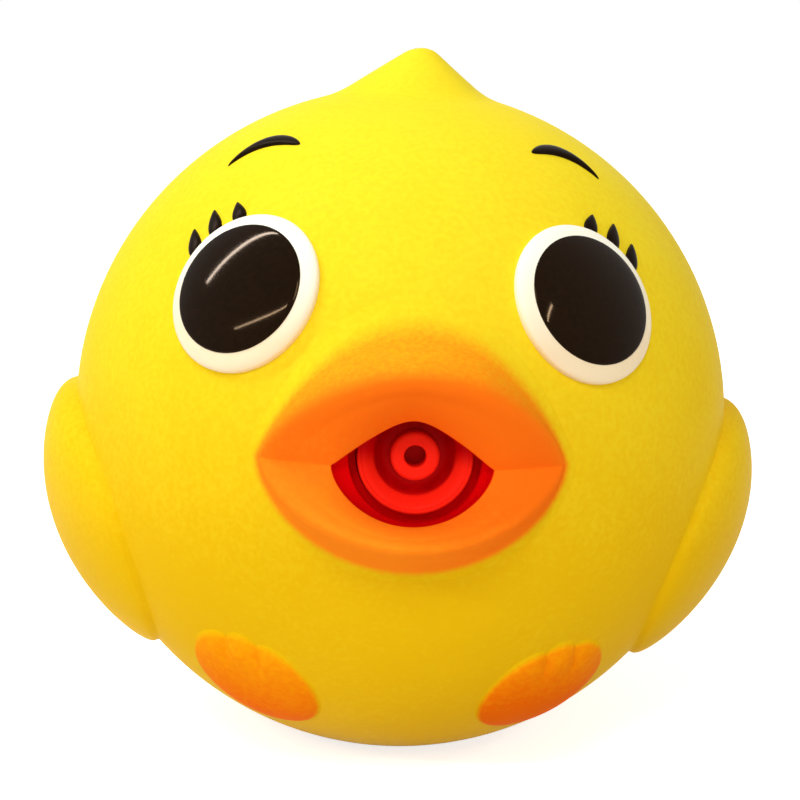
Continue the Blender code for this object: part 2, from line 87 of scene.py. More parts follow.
SKIRT_SINK = 0.12 * MM
SKIRT_ROOT = 1.2 * MM
SKIRT_ROOT_INSET = 0.97
LIP_BULGE = (0.2 * MM, 0.5 * MM, 0.6 * MM)
OUTER_SPRAY = (0.95, 0.6, 1.0)
SPRAY_POWER = 1.0
RIM_SPRAY = 0.15
# Painted shade: a deeper red low in the mouth and in the gap round the cup
MOUTH_SHADE = 0.4
GAP_SHADE = 1.4
POCKET_DEPTH = 1.6 * MM
POCKET_CORNER = 0.2 * MM
GAP_DEPTH = 2.0 * MM
RECESS_RADIUS = 7.9 * MM
RECESS_DEPTH = 7.0 * MM
PLUG_WALL = 2.5 * MM
PLUG_TOP_DEPTH = 4.0 * MM
WELL_RADIUS = 11.0 * MM

# Nozzle, turned about the mouth's axis and set a little to +X and down
NOZZLE_SHIFT = (0.35 * MM, -0.15 * MM)
FIT = 0.3 * MM
CUP_RADIUS = 6.9 * MM
CUP_RIM = 0.55 * MM
CUP_HEIGHT = 4.2 * MM
CUP_FLOOR = 0.5 * MM
CUP_FLOOR_RADIUS = 3.6 * MM
CUP_FLOOR_ROUND = 0.3 * MM
CUP_SHOULDER_RADIUS = 4.9 * MM
CUP_SHOULDER_DROP = 1.3 * MM
CUP_CREST_INSET = 1.1 * MM
CUP_CREST_DROP = 0.1 * MM
# Painted shade: the nozzle's red deepens on the cup under the lip, down the bore and on the cup's
# floor
CUP_SHADE = 1.5
CUP_SHADE_UP = (-1.5 * MM, 1.8 * MM)
BORE_SHADE_DROP = (0.2 * MM, 1.0 * MM)
FLOOR_SHADE_DROP = (-0.3 * MM, 1.2 * MM)
TUBE_RADIUS = 2.9 * MM
TUBE_BORE_RADIUS = 1.3 * MM
TUBE_REACH = 4.3 * MM
TUBE_ROUND = 0.5 * MM
BORE_DEPTH = 4.0 * MM

# Eyes, lashes and brows, each by its direction from the ball's middle
EYE_AZIMUTH = math.radians(31.5)
EYE_ELEVATION = math.radians(29.0)
EYE_WIDTH = 19.6 * MM
EYE_HEIGHT = 20.2 * MM
EYE_RISE = 1.7 * MM
EYE_SECTION = 0.42
PUPIL_AZIMUTH = math.radians(31.7)
PUPIL_ELEVATION = math.radians(29.05)
PUPIL_RADIUS = 8.0 * MM
PUPIL_RISE = 0.25 * MM
PUPIL_SECTION = 0.35
LASH_LENGTHS = (4.6 * MM, 4.6 * MM, 3.7 * MM)
LASH_FIRST_ANGLE = math.radians(25)
LASH_PITCH = math.radians(20.5)
LASH_LEAN = math.radians(53)
LASH_WIDTH = 1.95 * MM
LASH_POINT = 0.55
LASH_RISE = 0.6 * MM
LASH_OVERLAP = 0.2 * MM
BROW_AZIMUTH = math.radians(47.4)
BROW_ELEVATION = math.radians(54.9)
BROW_LENGTH = 10.1 * MM
BROW_WIDTH = 2.2 * MM
BROW_BOW = 2.4 * MM
BROW_TURN = math.radians(-34.5)
BROW_POINT = 0.5
BROW_RISE = 0.6 * MM
SMALL_SECTION = 0.8

# Feet and wings
FOOT_AZIMUTH = math.radians(32.1)
FOOT_ELEVATION = math.radians(-39.9)
FOOT_TURN = math.radians(98)
FOOT_LENGTH = 18.8 * MM
FOOT_WIDTH = 17.5 * MM
FOOT_RISE = 1.4 * MM
FOOT_SECTION = 1.1
FOOT_SPREAD = 1.04
FOOT_EDGE = 0.95
FOOT_PAINT_EDGE = (1.0, 0.91)
TOE_PITCH = 4.4 * MM
TOE_RISE = 1.2 * MM
TOE_START = 0.2
TOE_FULL = 0.42
TOE_SCALLOP = 0.09
TOE_MEAN = 0.6
TOE_GROOVE_POWER = 0.6
WING_AZIMUTH = math.radians(85)
WING_ELEVATION = math.radians(-16)
WING_LENGTH = 48.0 * MM
WING_WIDTH = 36.0 * MM
WING_TURN = math.radians(25)
WING_POINT = 0.25
WING_RISE = 5.1 * MM
WING_THINNING = 0.45
WING_SECTION = 0.8
WING_SPREAD = 1.03
WING_EDGE = 0.96
EDGE_FILLET = 0.8 * MM
EDGE_SINK = 0.06 * MM
ROOT = 1.0 * MM

LOW_MIDDLE_Z = BASE_EDGE_RADIUS + math.sqrt(
    (BALL_RADIUS - BASE_EDGE_RADIUS) ** 2 - BASE_FLAT_RADIUS**2
)
HIGH_MIDDLE_Z = LOW_MIDDLE_Z + BALL_STRETCH
MIDDLE = Vector((0, 0, LOW_MIDDLE_Z + BALL_STRETCH / 2))
MOUTH_AXIS = Vector((0, -math.cos(MOUTH_TILT), math.sin(MOUTH_TILT)))
MOUTH_UP = Vector((0, math.sin(MOUTH_TILT), math.cos(MOUTH_TILT)))

# Fineness: steps round each piece, and along each stretch of the bill's profile
BALL_STEPS = 192
BILL_STEPS = 224
NOZZLE_STEPS = 96
ARC_STEP = math.radians(2)
SKIRT_STEPS = 12
FACE_STEPS = 6
RIM_STEPS = 16
LIP_STEPS = 12
EDGE_STEPS = 5
EYE_FACETS = (128, 64)
LASH_FACETS = (32, 16)
BROW_FACETS = (64, 24)
FOOT_FACETS = (192, 96)
WING_FACETS = (128, 80)
SHELL_SHARP_ANGLE = math.radians(35)
BILL_SHARP_ANGLE = math.radians(50)
FORM_SHARP_ANGLE = math.radians(60)


def srgb(red, green, blue):
    """A colour from its screen values, 0 to 255."""

    def linear(value):
        share = value / 255
        return share / 12.92 if share <= 0.04045 else ((share + 0.055) / 1.055) ** 2.4

    return (linear(red), linear(green), linear(blue), 1)


YELLOW = srgb(248, 225, 44)
# Painted shade: the vinyl turns golden lower down
SHADE_GOLD = srgb(236, 188, 12)
ORANGE = srgb(255, 138, 28)
# Painted shade: the bill's orange is deeper higher up and towards +X
SHADED_BILL_ORANGE = srgb(255, 116, 21)
# Painted light and shade: the feet are lighter at the toes, deeper at the heels and towards +X
LIT_FOOT_ORANGE = srgb(255, 168, 12)
SHADED_FOOT_ORANGE = srgb(246, 112, 6)
MOUTH_RED = srgb(216, 2, 6)
# Painted shade: deeper reds in the nozzle and bore, under the lip, low in the mouth and round the cup
GROOVE_SHADE_RED = srgb(208, 3, 9)
SHADE_RED = srgb(178, 1, 8)
NOZZLE_RED = srgb(250, 36, 20)
EYE_WHITE = srgb(255, 253, 238)
# Painted shade: the eye whites turn cream lower down
EYE_SHADE_CREAM = srgb(246, 225, 190)
BLACK = srgb(22, 10, 4)
DEEP_BLACK = srgb(16, 7, 3)
WHITE = (1, 1, 1, 1)
WARM_SHEEN = (1.0, 0.8, 0.35, 1)
RED_SHEEN = (1.0, 0.25, 0.2, 1)
PUPIL_SHEEN = (1.0, 0.62, 0.33, 1)

# Finishes: lengths are metres on the duck, and each pair of heights is where a colour starts and ends
VINYL_ROUGHNESS = 0.5
VINYL_BUMP = 0.12
VINYL_SPECULAR = 0.02
# Painted shade: the heights and side places below grade colours between lit and shaded
VINYL_SHADE_HEIGHTS = (0.086, 0.030)
VINYL_MOTTLE = 0.12
SPRAY_BUMP = 0.16
SPRAY_SPECULAR = 0.005
SPRAY_MOTTLE = 0.15
SPRAY_MIST = 0.4
SIDE_SHADE_PLACES = (-0.002, 0.018)
BILL_SHADE_HEIGHTS = (0.052, 0.040)
BILL_SIDE_SHADE = -1.2
FOOT_SHADE_HEIGHTS = (0.022, 0.009)
FOOT_SIDE_SHADE = 0.3
EYE_SHADE_HEIGHTS = (0.071, 0.060)
BUMP_DISTANCE = 0.0001
GRAIN_SCALE = 1900
PEEL_SCALE = 700
SPECK_SCALE = 1300
MOTTLE_SCALE = 55
MIST_SCALE = 1800
NOISE_RANGE = (0.3, 0.7)
GLOSS_RANGE = (0.9, 1.12)


# Small helpers for shapes


def mix(a, b, share):
    return a + (b - a) * share


def smooth_max(a, b, radius):
    """The larger of two heights, rounded over where they meet."""
    overlap = max(radius - abs(a - b), 0) / radius
    return max(a, b) + overlap * overlap * radius / 4


def smooth_step(low, high, value):
    """From 0 at low to 1 at high, level at both; high may be the smaller."""
    share = min(1, max(0, (value - low) / (high - low)))
    return share * share * (3 - 2 * share)


def round_blend(angle, corner, upper, lower, power=2.0):
    """A value that goes from `corner` at the bill's corners to `upper` or `lower` at its middle."""
    rise = abs(math.sin(angle)) ** power
    return corner + ((upper if math.sin(angle) >= 0 else lower) - corner) * rise


def direction(azimuth, elevation):
    """Unit vector from the ball's middle. Azimuth turns from -Y towards +X."""
    return Vector(
        (
            math.cos(elevation) * math.sin(azimuth),
            -math.cos(elevation) * math.cos(azimuth),
            math.sin(elevation),
        )
    )


def ball_reach(way):
    """Distance from the ball's middle to its surface along a unit vector."""
    half = BALL_STRETCH / 2
    across = math.hypot(way.x, way.y)
    if abs(way.z) * BALL_RADIUS <= half * across:
        return BALL_RADIUS / across
    return half * abs(way.z) + math.sqrt(BALL_RADIUS**2 - (half * across) ** 2)


def stepped_on_ball(way, along_distance, up_distance):
    """The direction reached from `way` by walking over the ball's surface."""
    along = Vector((-way.y, way.x, 0)).normalized()
    up = way.cross(along)
    walked = math.hypot(along_distance, up_distance)
    if walked < 1e-9:
        return way.copy()
    heading = (along * along_distance + up * up_distance) / walked
    angle = walked / BALL_RADIUS
    return way * math.cos(angle) + heading * math.sin(angle)


def mirrored(side, way):
    return Vector((way.x * side, way.y, way.z))


def side_turn(side, angle):
    return angle if side > 0 else math.pi - angle


def side_name(side):
    return "left" if side > 0 else "right"


def arc(middle, radius, start, end, step=ARC_STEP):
    """Points of an arc in a profile plane."""
    count = max(2, round(abs(end - start) / step))
    return [
        (
            middle[0] + radius * math.cos(mix(start, end, i / count)),
            middle[1] + radius * math.sin(mix(start, end, i / count)),
        )
        for i in range(count + 1)
    ]


def curve_through(start, control, end, count):
    """Points of a quadratic curve, each a tuple of as many numbers as its ends have."""
    points = []
    for i in range(count + 1):
        t = i / count
        points.append(
            tuple(
                (1 - t) ** 2 * a + 2 * t * (1 - t) * b + t * t * c
                for a, b, c in zip(start, control, end)
            )
        )
    return points


def finish_piece(name, shape, material, sharp_angle):
    """Turn a bmesh into a closed, outward-facing piece of the duck."""
    bmesh.ops.remove_doubles(shape, verts=shape.verts, dist=1e-6)
    bmesh.ops.dissolve_degenerate(shape, edges=shape.edges, dist=1e-7)
    bmesh.ops.recalc_face_normals(shape, faces=shape.faces)
    mesh = bpy.data.meshes.new(name)
    shape.to_mesh(mesh)
    shape.free()
    mesh.materials.append(material)
    mesh.shade_smooth()
    mesh.set_sharp_from_angle(angle=sharp_angle)
    piece = bpy.data.objects.new(name, mesh)
    bpy.context.scene.collection.objects.link(piece)
    return piece


def turned(shape, profile, steps):
    """Spin a profile of (radius, height) points about Z."""
    ring = [shape.verts.new((radius, 0, height)) for radius, height in profile]
    edges = [shape.edges.new(pair) for pair in zip(ring, ring[1:])]
    bmesh.ops.spin(
        shape,
        geom=ring + edges,
        cent=(0, 0, 0),
        axis=(0, 0, 1),
        angle=2 * math.pi,
        steps=steps,
        use_merge=True,
    )


def about_mouth():
    """The place of a shape turned about Z in the nozzle's seat, with the ball's middle at nought."""
    sideways = Vector((1, 0, 0))
    turn = Matrix((sideways, MOUTH_AXIS.cross(sideways), MOUTH_AXIS)).transposed()
    shift = sideways * NOZZLE_SHIFT[0] + MOUTH_UP * NOZZLE_SHIFT[1]
    return Matrix.Translation(MIDDLE + shift) @ turn.to_4x4()


# The shell


def tuft_profile():
    tip_z = HIGH_MIDDLE_Z + BALL_RADIUS + TUFT_HEIGHT
    out = Vector((math.sin(TUFT_SLOPE), math.cos(TUFT_SLOPE)))
    down = Vector((math.cos(TUFT_SLOPE), -math.sin(TUFT_SLOPE)))
    tip_middle = Vector((0, tip_z - TUFT_TIP_RADIUS))
    ball_middle = Vector((0, HIGH_MIDDLE_Z))
    shoulder = tip_middle + out * TUFT_TIP_RADIUS
    start = shoulder + out * TUFT_FILLET - ball_middle
    half = start.dot(down)
    far = BALL_RADIUS + TUFT_FILLET
    flank = -half - math.sqrt(half * half - start.dot(start) + far * far)
    fillet_middle = ball_middle + start + down * flank
    foot = ball_middle - fillet_middle
    fillet = arc(
        fillet_middle,
        TUFT_FILLET,
        math.atan2(foot.y, foot.x),
        math.atan2(-out.y, -out.x),
    )
    tip = arc(tip_middle, TUFT_TIP_RADIUS, math.atan2(out.y, out.x), math.pi / 2)
    flank_points = [
        (mix(fillet[-1][0], tip[0][0], i / 4), mix(fillet[-1][1], tip[0][1], i / 4))
        for i in range(1, 4)
    ]
    return fillet + flank_points + tip


def make_shell(material):
    """Ball, tuft and flat base, with a well where the bill's own piece sits."""
    base_angle = math.atan2(BASE_EDGE_RADIUS - LOW_MIDDLE_Z, BASE_FLAT_RADIUS)
    tuft = tuft_profile()
    foot = Vector(tuft[0]) - Vector((0, HIGH_MIDDLE_Z))
    crown_angle = math.atan2(foot.y, foot.x)
    flat = [(BASE_FLAT_RADIUS * i / 8, 0) for i in range(8)]
    profile = flat + arc(
        (BASE_FLAT_RADIUS, BASE_EDGE_RADIUS), BASE_EDGE_RADIUS, -math.pi / 2, base_angle
    )
    profile += arc((0, LOW_MIDDLE_Z), BALL_RADIUS, base_angle, 0)[1:]
    profile += arc((0, HIGH_MIDDLE_Z), BALL_RADIUS, 0, crown_angle)
    profile += tuft[1:]
    shape = bmesh.new()
    turned(shape, profile, BALL_STEPS)
    foot_z, tip_z = tuft[0][1], tuft[-1][1]
    for vertex in shape.verts:
        if vertex.co.z > foot_z:
            share = (vertex.co.z - foot_z) / (tip_z - foot_z)
            vertex.co.x += TUFT_LEAN * share**TUFT_LEAN_POWER
    shell = finish_piece("shell", shape, material, SHELL_SHARP_ANGLE)

    well = bmesh.new()
    low, high = BALL_RADIUS - RECESS_DEPTH - PLUG_WALL / 2, BALL_RADIUS * 1.1
    radius = WELL_RADIUS
    turned(well, [(0, low), (radius, low), (radius, high), (0, high)], NOZZLE_STEPS)
    well.transform(about_mouth())
    cutter = finish_piece("well", well, material, SHELL_SHARP_ANGLE)
    cut = shell.modifiers.new("well", "BOOLEAN")
    cut.operation = "DIFFERENCE"
    cut.solver = "EXACT"
    cut.object = cutter
    apply_modifiers(shell)
    bpy.data.objects.remove(cutter)
    return shell


def apply_modifiers(piece):
    """Replace a piece's mesh by what its modifiers make of it."""
    bpy.context.view_layer.update()
    graph = bpy.context.evaluated_depsgraph_get()
    mesh = bpy.data.meshes.new_from_object(piece.evaluated_get(graph))
    piece.modifiers.clear()
    piece.data = mesh
    mesh.set_sharp_from_angle(angle=SHELL_SHARP_ANGLE)


# The bill


def full(fullness):
    """Height shares of an oval outline, by the place across: 0 at its middle, 1 at its corner."""
    return lambda across: max(0, 1 - across**2) ** fullness


def roof(across):
    """Height share of the mouth's upper edge: straight sides, a rounded peak and blunt corners."""
    fall = MOUTH_ROOF_SLOPE * (math.hypot(across, MOUTH_PEAK_ROUND) - MOUTH_PEAK_ROUND)
    return (1 - fall) * math.sqrt(max(0, 1 - across**MOUTH_CORNER_POWER))


BILL_RISES = (full(BILL_UPPER_FULLNESS), full(BILL_LOWER_FULLNESS))
RIM_RISES = (full(RIM_UPPER_FULLNESS), full(RIM_LOWER_FULLNESS))
MOUTH_RISES = (roof, full(MOUTH_LOWER_FULLNESS))


def outline(angle, half_width, top, bottom, drop, rises):
    """A point of an outline in the mouth's plane, as (across, up)."""
    half = 0 if math.sin(angle) >= 0 else 1
    height = (top + drop, drop - bottom)[half]
    return half_width * math.cos(angle), height * rises[half](abs(math.cos(angle))) - drop


def between(first, second, share):
    """The tuple a share of the way from one tuple to another."""
    return tuple(mix(a, b, share) for a, b in zip(first, second))


def turned_point(angle, radius):
    """A point round the nozzle's axis, as (across, up) from the mouth's."""
    return (
        NOZZLE_SHIFT[0] + radius * math.cos(angle),
        NOZZLE_SHIFT[1] + radius * math.sin(angle),
    )


def on_face(across, up, over):
    """The point at a height over the ball's surface, along the mouth's axis."""
    out = math.sqrt(max(0, BALL_RADIUS**2 - across**2 - up**2))
    way = (Vector((across, 0, 0)) + MOUTH_UP * up + MOUTH_AXIS * out).normalized()
    return MIDDLE + way * ball_reach(way) + MOUTH_AXIS * over


def at_depth(across, up, height):
    """The point at a height over the ball's middle, along the mouth's axis."""
    return MIDDLE + Vector((across, 0, 0)) + MOUTH_UP * up + MOUTH_AXIS * height


def bill_profile(angle):
    """Points and paint of one cut through the bill, from under its skirt over the lip to the recess.

    The paint is how much orange lies on the yellow and how much red on the orange. From 1 to 2 the
    red deepens as painted shade, low in the mouth and in the gap round the cup.
    """
    skirt = round_blend(angle, *SKIRT)
    outer = outline(
        angle,
        BILL_HALF_WIDTH + SKIRT[0],
        BILL_TOP + SKIRT[1],
        BILL_BOTTOM + SKIRT[2],
        BILL_DROP,
        BILL_RISES,
    )
    foot = outline(angle, BILL_HALF_WIDTH, BILL_TOP, BILL_BOTTOM, BILL_DROP, BILL_RISES)
    rim = outline(
        angle, BILL_HALF_WIDTH - RIM_INSET, RIM_TOP, RIM_BOTTOM, BILL_DROP, RIM_RISES
    )
    mouth = outline(angle, MOUTH_HALF_WIDTH, MOUTH_TOP, MOUTH_BOTTOM, MOUTH_DROP, MOUTH_RISES)
    start = (*outer, 0)
    corner = (*foot, 0)
    peak = (*rim, round_blend(angle, *RIM_REACH, REACH_POWER))
    edge = (*mouth, round_blend(angle, *MOUTH_REACH, REACH_POWER))
    face = math.dist(corner, peak)
    inside = math.dist(peak, edge)
    on_outer = between(corner, peak, min(LONGEST_BLEND, skirt / face))
    before_rim = between(peak, corner, min(LONGEST_RIM_BLEND, RIM_ROUND / face))
    after_rim = between(peak, edge, min(LONGEST_BLEND, RIM_ROUND * RIM_INNER_STRETCH / inside))

    # Under the skirt, closed from behind
    back = BALL_RADIUS - RECESS_DEPTH - PLUG_WALL
    plug = (
        (RECESS_RADIUS + PLUG_WALL) * math.cos(angle),
        (RECESS_RADIUS + PLUG_WALL) * math.sin(angle),
    )
    points = [
        at_depth(0, 0, back),
        at_depth(*plug, back),
        at_depth(*plug, BALL_RADIUS - PLUG_TOP_DEPTH),
        on_face(*(value * SKIRT_ROOT_INSET for value in outer), -SKIRT_ROOT),
        on_face(*outer, -SKIRT_SINK),
    ]
    paint = [(0, 0)] * len(points)

    # Fillet, outer face, rim
    thin = round_blend(angle, *OUTER_SPRAY, SPRAY_POWER)
    for i, point in enumerate(curve_through(start, corner, on_outer, SKIRT_STEPS)[1:], 1):
        points.append(on_face(*point))
        paint.append((thin * smooth_step(0.25, 0.85, i / SKIRT_STEPS), 0))
    for i in range(1, FACE_STEPS):
        points.append(on_face(*between(on_outer, before_rim, i / FACE_STEPS)))
        paint.append((mix(thin, 1, RIM_SPRAY * smooth_step(2, FACE_STEPS, i)), 0))
    for i, point in enumerate(curve_through(before_rim, peak, after_rim, RIM_STEPS)):
        points.append(on_face(*point))
        sprayed = mix(RIM_SPRAY, 1, smooth_step(-0.05, 0.6, i / RIM_STEPS))
        paint.append((mix(thin, 1, sprayed), 0))

    # Inner face, a little full, down to the mouth's rounded edge
    bulge = round_blend(angle, *LIP_BULGE)
    stop = 1 - MOUTH_EDGE_ROUND / math.dist(after_rim, edge)
    for i in range(1, LIP_STEPS + 1):
        share = stop * i / LIP_STEPS
        across, up, over = between(after_rim, edge, share)
        points.append(on_face(across, up, over + bulge * 4 * share * (1 - share)))
        paint.append((1, 0))
    edge_point = on_face(*edge)
    edge_height = (edge_point - MIDDLE).dot(MOUTH_AXIS)
    floor = BALL_RADIUS - POCKET_DEPTH
    below = at_depth(*mouth, max(floor + POCKET_CORNER, edge_height - MOUTH_EDGE_ROUND))
    rounded = curve_through(points[-1], edge_point, below, EDGE_STEPS)[1:]
    points += [Vector(point) for point in rounded]
    # Painted shade: the red deepens towards the mouth's lower edge
    under = 1 + MOUTH_SHADE * smooth_step(0.3, 0.9, -math.sin(angle))
    paint += [(1, 0.0), (1, 0.6), (1, 1), (1, under), (1, under)]

    # Pocket wall and floor, the gap round the cup, and the recess under it
    wall = turned_point(angle, RECESS_RADIUS)
    cup_side = turned_point(angle, CUP_RADIUS + FIT / 2)
    deep = BALL_RADIUS - RECESS_DEPTH
    points += [
        at_depth(*mouth, floor),
        at_depth(*between(mouth, wall, 0.05), floor),
        at_depth(*between(mouth, wall, 0.95), floor),
        at_depth(*wall, floor - POCKET_CORNER),
        at_depth(*wall, floor - GAP_DEPTH),
        at_depth(*cup_side, floor - GAP_DEPTH),
        at_depth(*cup_side, deep),
        at_depth(0, 0, deep),
    ]
    # Painted shade: the pocket keeps the lower mouth's deeper red, and the gap and recess are deeper
    # red all round
    paint += [(1, under)] * 4 + [(1, GAP_SHADE)] * 4
    return points, paint


def make_bill(material):
    """The open bill with its mouth and recess, on a skirt that runs out into the face."""
    count = len(bill_profile(0)[0])
    shape = bmesh.new()
    bmesh.ops.create_grid(shape, x_segments=BILL_STEPS, y_segments=count - 1, size=1)
    orange = shape.verts.layers.float.new("orange")
    red = shape.verts.layers.float.new("red")
    columns = {}
    for vertex in shape.verts:
        column = round((vertex.co.x + 1) / 2 * BILL_STEPS)
        row = round((vertex.co.y + 1) / 2 * (count - 1))
        if column not in columns:
            columns[column] = bill_profile(2 * math.pi * column / BILL_STEPS)
        points, paint = columns[column]
        vertex.co = points[row]
        vertex[orange], vertex[red] = paint[row]
    return finish_piece("bill", shape, material, BILL_SHARP_ANGLE)


def make_nozzle(material):
    """Cup and tube, with the bore left open a little way down."""
    seat = BALL_RADIUS - RECESS_DEPTH + FIT
    floor = seat + CUP_FLOOR
    rim = seat + CUP_HEIGHT
    inner_rim = CUP_RADIUS - CUP_RIM
    tube_end = seat + TUBE_REACH
    quarter = math.pi / 2
    bore_end = tube_end - BORE_DEPTH
    half_round = TUBE_ROUND / 2
    profile = [(0, bore_end), (TUBE_BORE_RADIUS, bore_end)]
    profile += arc(
        (TUBE_BORE_RADIUS + half_round, tube_end - half_round),
        half_round,
        math.pi,
        quarter,
        quarter / 5,
    )
    profile += arc(
        (TUBE_RADIUS - TUBE_ROUND, tube_end - TUBE_ROUND), TUBE_ROUND, quarter, 0, quarter / 6
    )
    profile.append((TUBE_RADIUS, floor))
    shoulder = (CUP_SHOULDER_RADIUS, rim - CUP_SHOULDER_DROP)
    foot = (CUP_FLOOR_RADIUS, floor)
    profile += curve_through(foot, (CUP_SHOULDER_RADIUS - CUP_FLOOR_ROUND, floor), shoulder, 12)
    crest = (CUP_RADIUS - CUP_CREST_INSET, rim - CUP_CREST_DROP)
    profile += curve_through(shoulder, crest, (inner_rim, rim), 10)[1:]
    profile += arc((CUP_RADIUS - CUP_RIM / 2, rim), CUP_RIM / 2, math.pi, 0, quarter / 4)[1:]
    profile += [(CUP_RADIUS, seat), (TUBE_RADIUS, seat)]
    profile += [(TUBE_RADIUS, bore_end - FIT), (0, bore_end - FIT)]
    shape = bmesh.new()
    turned(shape, profile, NOZZLE_STEPS)
    # Painted shade: deeper red down the bore, on the cup's floor round the tube and on the cup under
    # the lip
    painted_shade = shape.verts.layers.float.new("painted_shade")
    for vertex in shape.verts:
        radius = math.hypot(vertex.co.x, vertex.co.y)
        shade = CUP_SHADE * smooth_step(*CUP_SHADE_UP, vertex.co.y)
        if radius < TUBE_BORE_RADIUS + TUBE_ROUND:
            vertex[painted_shade] = smooth_step(*BORE_SHADE_DROP, tube_end - vertex.co.z)
        elif radius < CUP_SHOULDER_RADIUS:
            down = smooth_step(*FLOOR_SHADE_DROP, shoulder[1] - vertex.co.z)
            vertex[painted_shade] = max(shade * (radius > CUP_FLOOR_RADIUS), down)
        else:
            vertex[painted_shade] = shade
    shape.transform(about_mouth())
    return finish_piece("nozzle", shape, material, BILL_SHARP_ANGLE)


# Forms that lie on the ball


def section_height(share, section):
    """Height of a raised form as a share of its rise, by how far out from its middle it is."""
    return max(0.0, 1 - share * share) ** (section / 2)


def wrapped_form(
    name,
    material,
    way,
    size,
    height_at,
    facets,
    turn=0,
    point=0,
    bow=0,
    outline_at=None,
    paint_at=None,
):
    """A form of (length, width) bent over the ball's surface and rooted in it.

    Its long axis points at the angle `turn` from growing azimuth. point narrows its far end, bow
    bends it sideways, and height_at gives its height over the ball. outline_at widens its outline by
    the angle round it, and paint_at gives its orange by how far out from its middle a place is.
    """
    length, width = size
    widest_at = point / (1 + point)
    widest = ((1 + widest_at) / 2) ** point * math.sqrt(1 - widest_at**2)
    form = bmesh.new()
    bmesh.ops.create_uvsphere(form, u_segments=facets[0], v_segments=facets[1], radius=1)
    orange = form.verts.layers.float.new("orange")
    for vertex in form.verts:
        lengthwise, sideways, height = vertex.co
        share = min(1, math.hypot(lengthwise, sideways))
        scale = outline_at(math.atan2(sideways, lengthwise)) if outline_at else 1
        narrowed = (max(0, 1 - lengthwise) / 2) ** point / widest
        along = lengthwise * scale * length / 2
        beside = sideways * narrowed * scale * width / 2 + bow * (1 - lengthwise**2)
        spot = stepped_on_ball(
            way,
            along * math.cos(turn) - beside * math.sin(turn),
            along * math.sin(turn) + beside * math.cos(turn),
        )
        if height > 0:
            over = height_at(share, along, beside, spot)
        else:
            over = height_at(1, along, beside, spot) - ROOT * abs(height)
        if paint_at:
            vertex[orange] = paint_at(share if height > 0 else 1)
        vertex.co = MIDDLE + spot * (ball_reach(spot) + over)
    return finish_piece(name, form, material, FORM_SHARP_ANGLE)


def make_eye(side, white, gloss, paint_black):
    """The white, the glossy pupil on it, and the lashes that stand out from under it."""
    middle = mirrored(side, direction(EYE_AZIMUTH, EYE_ELEVATION))
    pupil_middle = mirrored(side, direction(PUPIL_AZIMUTH, PUPIL_ELEVATION))
    along_way = Vector((-middle.y, middle.x, 0)).normalized()
    up_way = middle.cross(along_way)
    label = side_name(side)

    def white_height(share, along, beside, spot):
        return EYE_RISE * section_height(share, EYE_SECTION)

    def pupil_height(share, along, beside, spot):
        angle = max(middle.angle(spot), 1e-6)
        radius = BALL_RADIUS * angle / math.sin(angle)
        under = math.hypot(
            spot.dot(along_way) * radius / (EYE_WIDTH / 2),
            spot.dot(up_way) * radius / (EYE_HEIGHT / 2),
        )
        ground = EYE_RISE * section_height(min(1, under), EYE_SECTION)
        return ground + PUPIL_RISE * section_height(share, PUPIL_SECTION)

    def lash_height(share, along, beside, spot):
        return LASH_RISE * section_height(share, SMALL_SECTION)

    eye_size = (EYE_WIDTH, EYE_HEIGHT)
    pupil_size = (PUPIL_RADIUS * 2, PUPIL_RADIUS * 2)
    pieces = [
        wrapped_form(f"{label}_eye_white", white, middle, eye_size, white_height, EYE_FACETS),
        wrapped_form(f"{label}_pupil", gloss, pupil_middle, pupil_size, pupil_height, EYE_FACETS),
    ]
    for i, length in enumerate(LASH_LENGTHS):
        angle = LASH_FIRST_ANGLE + LASH_PITCH * i
        root_across = (EYE_WIDTH / 2 - LASH_OVERLAP) * math.cos(angle)
        root_up = (EYE_HEIGHT / 2 - LASH_OVERLAP) * math.sin(angle)
        spot = stepped_on_ball(
            middle,
            side * (root_across + length / 2 * math.cos(LASH_LEAN)),
            root_up + length / 2 * math.sin(LASH_LEAN),
        )
        lash = wrapped_form(
            f"{label}_lash_{i + 1}",
            paint_black,
            spot,
            (length, LASH_WIDTH),
            lash_height,
            LASH_FACETS,
            turn=side_turn(side, LASH_LEAN),
            point=LASH_POINT,
        )
        pieces.append(lash)
    return pieces


def make_brow(side, material):
    def height(share, along, beside, spot):
        return BROW_RISE * section_height(share, SMALL_SECTION)

    return wrapped_form(
        f"{side_name(side)}_brow",
        material,
        mirrored(side, direction(BROW_AZIMUTH, BROW_ELEVATION)),
        (BROW_LENGTH, BROW_WIDTH),
        height,
        BROW_FACETS,
        turn=side_turn(side, BROW_TURN),
        point=BROW_POINT,
        bow=side * BROW_BOW,
    )


def domed(share, rise, section, inner):
    """A dome that meets the ball in a small fillet, with its edge at `inner` of the outline."""
    inside = 1 - (share / inner) ** 2
    dome = rise * math.copysign(abs(inside) ** (section / 2), inside)
    return smooth_max(dome, 0, EDGE_FILLET) - EDGE_SINK * smooth_step(0.97, 1, share)


